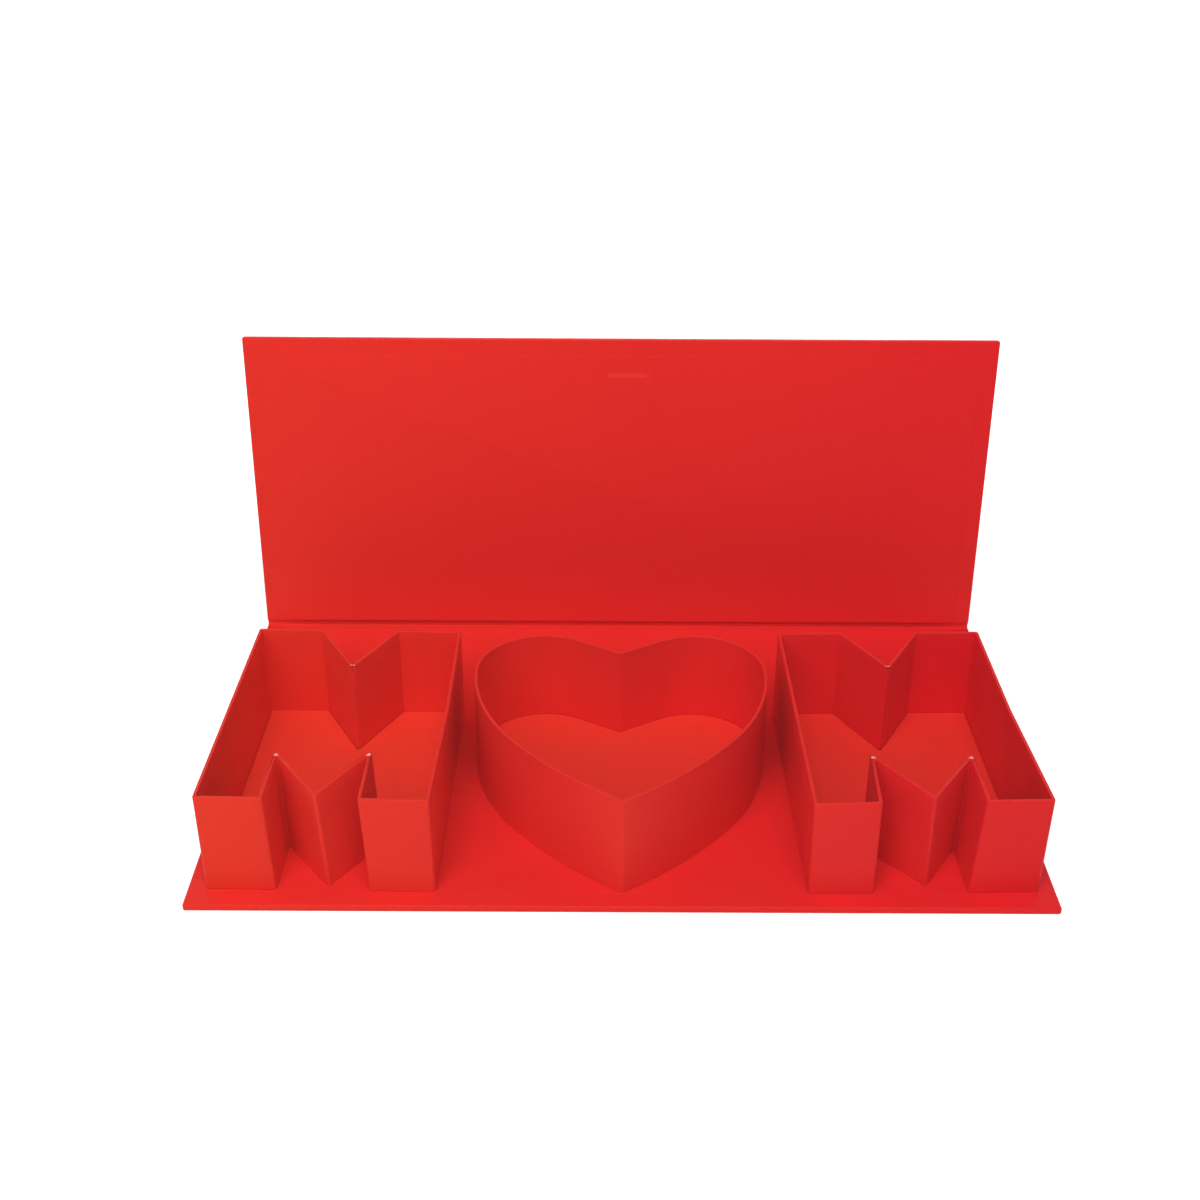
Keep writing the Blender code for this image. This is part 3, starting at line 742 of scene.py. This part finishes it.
# Whole paths: near half, far half, and how far from the hinge line the paper folds
GROOVE = (GROOVE_NEAR, GROOVE_FAR, 2.45)
GROOVE_END = (SHALLOW, SHALLOW, 4.75)
BRIDGE = (LEVEL, LEVEL, 4.13)
COVER = (UNDER, UNDER, 0.14)
# From a strip's end inwards: the distance in mm, and the share that the path of its end has
END_SHARES = ((0, 1.0), (4, 0.92), (9, 0.7), (15, 0.35), (22, 0.1), (30, 0.0))
STRIP_HALF = 225.0


def fold_path(path, fold):
    """The near half, the point where the paper folds, and the far half beyond the fold."""
    near, far, reach = path
    swing = Matrix.Rotation(fold, 2)
    crest = reach * Vector((-math.sin(fold / 2), math.cos(fold / 2)))
    beyond = [swing @ Vector((-y, z)) for y, z in reversed(far)]
    return [Vector(point) for point in near] + [crest] + beyond


def add_hinge_paper(name, node, look, bodies, hinge, rise, fold, paths):
    """A strip of paper across a hinge. paths are its path mid-way along and at its ends."""
    swing = Matrix.Rotation(rise, 2)
    paths = [[swing @ point for point in fold_path(path, fold)] for path in paths]
    middle, end = [[(hinge[0] + p.x, hinge[1] + p.y) for p in path] for path in paths]
    stations = [(inwards - STRIP_HALF, share) for inwards, share in END_SHARES]
    stations += [(STRIP_HALF - inwards, share) for inwards, share in reversed(END_SHARES)]
    points = [Vector((stations[0][0], *point)) * MM for point in middle]
    piece = start_outline(name, points[0])
    for here, there in zip(points, points[1:]):
        draw_to(there - here)
    bpy.ops.mesh.select_all(action="SELECT")
    for here, there in zip(stations, stations[1:]):
        draw_to(((there[0] - here[0]) * MM, 0, 0))
    edit = bmesh.from_edit_mesh(piece.data)
    for vertex in edit.verts:
        _, share = min(stations, key=lambda station: abs(station[0] * MM - vertex.co.x))
        gaps = [math.hypot(vertex.co.y - y * MM, vertex.co.z - z * MM) for y, z in middle]
        i = gaps.index(min(gaps))
        vertex.co.y = (middle[i][0] * (1 - share) + end[i][0] * share) * MM
        vertex.co.z = (middle[i][1] * (1 - share) + end[i][1] * share) * MM
    bpy.ops.mesh.select_all(action="SELECT")
    bpy.ops.mesh.normals_make_consistent(inside=False)
    bpy.ops.object.mode_set(mode="OBJECT")
    apply_modifier(piece, "SOLIDIFY", thickness=PAPER * MM, offset=0.0, use_even_offset=True)
    finish_piece(piece, node, None, *look, angle=50.0)
    # The inner edges of the two panels, where the bend starts and ends; nothing uses them
    top = PANEL_TOP - PAPER / 2
    lips = [
        swing @ Vector((-HINGE_REACH, top)),
        swing @ Matrix.Rotation(fold, 2) @ Vector((HINGE_REACH, top)),
    ]
    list(bodies)
    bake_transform(piece)


def add_hinge_papers():
    """An inner and an outer strip across each of the two hinges."""
    inner, outer = ("red_lining_paper", lining_paper), ("red_wrap_paper", wrap_paper)
    rear = (("base", "spine"), SPINE_HINGE, 0.0, SPINE_RISE)
    lid = (("spine", "lid"), LID_HINGE, SPINE_RISE, LID_RISE - SPINE_RISE)
    grooved, level, under = (GROOVE, GROOVE_END), (BRIDGE, BRIDGE), (COVER, COVER)
    add_hinge_paper("rear_hinge_inner_paper", "rear_hinge_lining", inner, *rear, level)
    add_hinge_paper("rear_hinge_outer_paper", "rear_hinge_cover", outer, *rear, under)
    add_hinge_paper("lid_hinge_inner_paper", "lid_hinge_lining", inner, *lid, grooved)
    add_hinge_paper("lid_hinge_outer_paper", "lid_hinge_cover", outer, *lid, under)


# Covered panels and their linings, shaped flat with the outer face down, then turned up

# How far a sheet stays back from a hinged end, and its roundings, in millimetres
WRAP_BACK, WRAP_CORNER, WRAP_EDGE = 0.3, 1.2, 1.0
LINING_BACK, LINING_CORNER, LINING_EDGE = 1.2, 0.8, 0.2
CORNER_SEGMENTS, EDGE_SEGMENTS = 6, 4
# How far the lining's underside is sunk into the wrap, so that no gap shows
LINING_SUNK = 0.05
# What counts as near a slab's end, and as lying in it, in millimetres
NEAR_END, IN_END = 1.0, 0.01
UPRIGHT_EDGE = 0.0001  # metres; an edge that rises by more is upright
# Near and far end of each panel in its own plane, which of them are free, hinge line and rise
PANELS = {
    "base": ((-PANEL_DEPTH / 2, PANEL_DEPTH / 2), (True, False), (0.0, 0.0), 0.0),
    "spine": ((HINGE_REACH, HINGE_SPAN - HINGE_REACH), (False, False), SPINE_HINGE, SPINE_RISE),
    "lid": ((HINGE_REACH, HINGE_REACH + PANEL_DEPTH), (False, True), LID_HINGE, LID_RISE),
}


def is_upright(edge):
    return abs(edge.verts[0].co.z - edge.verts[1].co.z) > UPRIGHT_EDGE


def shape_slab(name, low, high, free, corner, long_edge, sides):
    """A block between two corners, in millimetres, rounded except at its hinged ends.

    free says whether the near and the far end are free, and sides which faces have rounded
    edges: -1 for the outer one and 1 for the inner one.
    """
    bpy.ops.object.select_all(action="DESELECT")
    size = [(b - a) * MM for a, b in zip(low, high)]
    middle = [(a + b) / 2 * MM for a, b in zip(low, high)]
    bpy.ops.mesh.primitive_cube_add(size=1.0, location=middle, scale=size)
    slab = bpy.context.object
    slab.name = name
    bpy.ops.object.transform_apply(location=True, scale=True)
    bpy.ops.object.mode_set(mode="EDIT")
    near, far = low[1], high[1]

    def at_free_end(edge):
        y = edge.verts[0].co.y / MM
        at_near, at_far = free[0] and y < near + NEAR_END, free[1] and y > far - NEAR_END
        return is_upright(edge) and (at_near or at_far)

    def runs_round(edge):
        slopes = [face.normal.z * side for face in edge.link_faces for side in sides]
        if is_upright(edge) or max(slopes) <= LIES_FLAT:
            return False
        ends = [vertex.co.y / MM for vertex in edge.verts]
        hinged_near = not free[0] and max(ends) < near + IN_END
        hinged_far = not free[1] and min(ends) > far - IN_END
        return not (hinged_near or hinged_far)

    if pick("EDGE", at_free_end):
        bpy.ops.mesh.bevel(offset=corner * MM, segments=CORNER_SEGMENTS, affect="EDGES")
    pick("EDGE", runs_round)
    bpy.ops.mesh.bevel(
        offset=long_edge * MM, segments=EDGE_SEGMENTS, affect="EDGES", clamp_overlap=True)
    bpy.ops.object.mode_set(mode="OBJECT")
    return slab


def add_panel_papers(panel, ends, free, hinge, rise):
    """The wrapping paper drawn tight over one board, and the lining on its inner face."""
    swing = Matrix.Translation((0.0, hinge[0] * MM, hinge[1] * MM))
    swing = swing @ Matrix.Rotation(rise, 4, "X")
    near, far = ends
    half = BOX_WIDTH / 2
    low = (-half, near + (0 if free[0] else WRAP_BACK), 0.0)
    high = (half, far - (0 if free[1] else WRAP_BACK), WRAPPED)
    wrap = shape_slab(panel + "_paper", low, high, free, WRAP_CORNER, WRAP_EDGE, (-1, 1))
    half -= LINING_MARGIN
    low = (-half, near + (LINING_MARGIN if free[0] else LINING_BACK), WRAPPED - LINING_SUNK)
    high = (half, far - (LINING_MARGIN if free[1] else LINING_BACK), PANEL_TOP)
    rounding = (LINING_CORNER, LINING_EDGE, (1,))
    lining = shape_slab(panel + "_inner_paper", low, high, free, *rounding)
    inner = lid_paper if panel == "lid" else lining_paper
    papers = (
        (wrap, "_wrap", "red_wrap_paper", wrap_paper),
        (lining, "_lining", "red_lining_paper", inner),
    )
    for piece, node, slot, paper in papers:
        hold(piece)
        piece.data.transform(swing)
        apply_modifier(piece, "WEIGHTED_NORMAL", keep_sharp=True)
        finish_piece(piece, panel + node, panel, slot, paper)


add_camera()
add_studio()
add_floor()

# Wraps of the panels: an even satin red, with painted light that makes it lighter and warmer
# towards the left
wrap_paper = coloured_paper("red art paper, satin", RED_LINING, RED_LINING_LIT_WARM, 0.48, 0.5)
# Wraps of the trays: a deeper red, lighter towards the left by painted light, with paler flecks
# along the rims that are worn paper and painted highlight
tray_paper = coloured_paper(
    "red art paper, rubbed at the rim", RED_PAPER, RED_PAPER_LIT_WARM, 0.48, 0.5, worn_and_lit)
# Linings of the panels: the wraps' red, a little duller and flatter, with the same painted light
# towards the left
lining_paper = coloured_paper("red lining paper, matt", RED_LINING, RED_LINING_LIT_WARM, 0.52, 0.4)
# Lining of the lid: the same, with the painted highlight of one short crease near the free edge
lid_paper = coloured_paper(
    "red lining paper, creased", RED_LINING, RED_LINING_LIT_WARM, 0.52, 0.4, painted_crease_light)
# Floors of the trays: a lighter, more orange red, painted light for the stronger light that falls
# on the floors from above
lit_floor_paper = coloured_paper("red floor paper, matt", RED_FLOOR_LIT, RED_FLOOR_LIT_WARM, 0.52, 0.4)
# Boards inside the panels and under the floors: dull grey with dark flecks
greyboard = pressed_board("greyboard", GREYBOARD, GREYBOARD_FLECK, 0.9)
# Boards of the tray walls: pale dots in the slits, painted pink for the red light thrown on them by
# the walls around
duplex = pressed_board("duplex board, bare cut", CUT_BOARD_RED_LIT, CUT_BOARD_RED_LIT_FLECK, 0.85)

names = sorted(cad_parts)
panel_boards = ("base_board", "spine_board", "lid_board")
paint([n for n in names if n.endswith("floor_lining")], lit_floor_paper)
paint([n for n in names if "lining" in n and "floor" not in n], lining_paper)
paint([n for n in names if "wrap" in n or "cover" in n], wrap_paper)
paint([n for n in names if n.endswith("floor_board") or n in panel_boards], greyboard)
paint([n for n in names if "wall_board" in n], duplex)

add_letter_tray("left", LEFT_LETTER, LEFT_SLITS)
add_letter_tray("right", RIGHT_LETTER, RIGHT_SLITS)
add_heart_paper()
add_hinge_papers()
for name, place in PANELS.items():
    add_panel_papers(name, *place)
